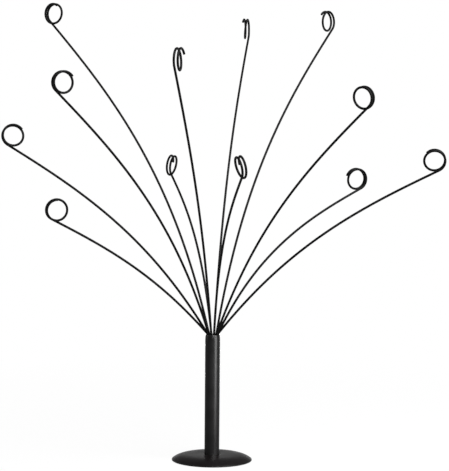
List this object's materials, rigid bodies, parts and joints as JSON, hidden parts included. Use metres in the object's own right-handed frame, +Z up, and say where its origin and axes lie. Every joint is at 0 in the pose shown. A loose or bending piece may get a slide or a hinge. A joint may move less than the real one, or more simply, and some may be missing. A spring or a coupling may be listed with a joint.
{
  "type": "gift card tree holder",
  "caption": "Gift card tree holder: springy black wire arms fan out of a slim tubular stem on a low domed round base, each ending in an open coil that pinches a card.",
  "frame": {"origin": "centre of the underside of the pad, on the table", "axes": "+Z up along the stem, the front as pictured towards -Y, +X to the right of the front"},
  "size_m": [0.3721, 0.3284, 0.392],
  "materials": {
    "wire_black": "satin black enamel on spring steel wire",
    "coat_black": "satin black powder coat on steel",
    "plain_steel": "turned steel",
    "zinc_steel": "bright zinc plate",
    "pad_foam": "closed-cell foam"
  },
  "bodies": {
    "stand": {"base_pad": "pad_foam", "base_disc": "coat_black", "base_screw": "zinc_steel", "foot_plug": "plain_steel", "stem_tube": "coat_black", "stem_core": "plain_steel"},
    "arm_01": {"arm_01": "wire_black"},
    "arm_02": {"arm_02": "wire_black"},
    "arm_03": {"arm_03": "wire_black"},
    "arm_04": {"arm_04": "wire_black"},
    "arm_05": {"arm_05": "wire_black"},
    "arm_06": {"arm_06": "wire_black"},
    "arm_07": {"arm_07": "wire_black"},
    "arm_08": {"arm_08": "wire_black"},
    "arm_09": {"arm_09": "wire_black"},
    "arm_10": {"arm_10": "wire_black"},
    "arm_11": {"arm_11": "wire_black"},
    "arm_12": {"arm_12": "wire_black"}
  },
  "joints": [
    {"name": "arm_01_flex", "type": "hinge", "parent": "stand", "child": "arm_01", "pos_m": [0.00426, 0.00114, 0.1078], "axis": [-0.4147, 0.91, 0], "range_deg": [-6, 6], "stiffness_Nm_per_rad": 2.52, "springref_deg": -0.11},
    {"name": "arm_02_flex", "type": "hinge", "parent": "stand", "child": "arm_02", "pos_m": [0.00312, 0.00312, 0.1078], "axis": [-0.8339, 0.5519, 0], "range_deg": [-6, 6], "stiffness_Nm_per_rad": 1.43, "springref_deg": -0.37},
    {"name": "arm_03_flex", "type": "hinge", "parent": "stand", "child": "arm_03", "pos_m": [0.00114, 0.00426, 0.1078], "axis": [-0.989, 0.1478, 0], "range_deg": [-6, 6], "stiffness_Nm_per_rad": 1.43, "springref_deg": -0.4},
    {"name": "arm_04_flex", "type": "hinge", "parent": "stand", "child": "arm_04", "pos_m": [-0.00114, 0.00426, 0.1078], "axis": [-0.9537, -0.3007, 0], "range_deg": [-6, 6], "stiffness_Nm_per_rad": 2.52, "springref_deg": -0.11},
    {"name": "arm_05_flex", "type": "hinge", "parent": "stand", "child": "arm_05", "pos_m": [-0.00312, 0.00312, 0.1078], "axis": [-0.6157, -0.788, 0], "range_deg": [-6, 6], "stiffness_Nm_per_rad": 1.43, "springref_deg": -0.36},
    {"name": "arm_06_flex", "type": "hinge", "parent": "stand", "child": "arm_06", "pos_m": [-0.00426, 0.00114, 0.1078], "axis": [0.0872, -0.9962, 0], "range_deg": [-6, 6], "stiffness_Nm_per_rad": 2, "springref_deg": -0.21},
    {"name": "arm_07_flex", "type": "hinge", "parent": "stand", "child": "arm_07", "pos_m": [-0.00426, -0.00114, 0.1078], "axis": [0.3256, -0.9455, 0], "range_deg": [-6, 6], "stiffness_Nm_per_rad": 2.77, "springref_deg": -0.1},
    {"name": "arm_08_flex", "type": "hinge", "parent": "stand", "child": "arm_08", "pos_m": [-0.00312, -0.00312, 0.1078], "axis": [0.4772, -0.8788, 0], "range_deg": [-6, 6], "stiffness_Nm_per_rad": 1.85, "springref_deg": -0.18},
    {"name": "arm_09_flex", "type": "hinge", "parent": "stand", "child": "arm_09", "pos_m": [-0.00114, -0.00426, 0.1078], "axis": [0.9613, -0.2756, 0], "range_deg": [-6, 6], "stiffness_Nm_per_rad": 1.85, "springref_deg": -0.14},
    {"name": "arm_10_flex", "type": "hinge", "parent": "stand", "child": "arm_10", "pos_m": [0.00114, -0.00426, 0.1078], "axis": [0.9816, 0.1908, 0], "range_deg": [-6, 6], "stiffness_Nm_per_rad": 2.52, "springref_deg": -0.09},
    {"name": "arm_11_flex", "type": "hinge", "parent": "stand", "child": "arm_11", "pos_m": [0.00312, -0.00312, 0.1078], "axis": [0.6561, 0.7547, 0], "range_deg": [-6, 6], "stiffness_Nm_per_rad": 1.85, "springref_deg": -0.21},
    {"name": "arm_12_flex", "type": "hinge", "parent": "stand", "child": "arm_12", "pos_m": [0.00426, -0.00114, 0.1078], "axis": [0.165, 0.9863, 0], "range_deg": [-6, 6], "stiffness_Nm_per_rad": 2, "springref_deg": -0.23}
  ]
}
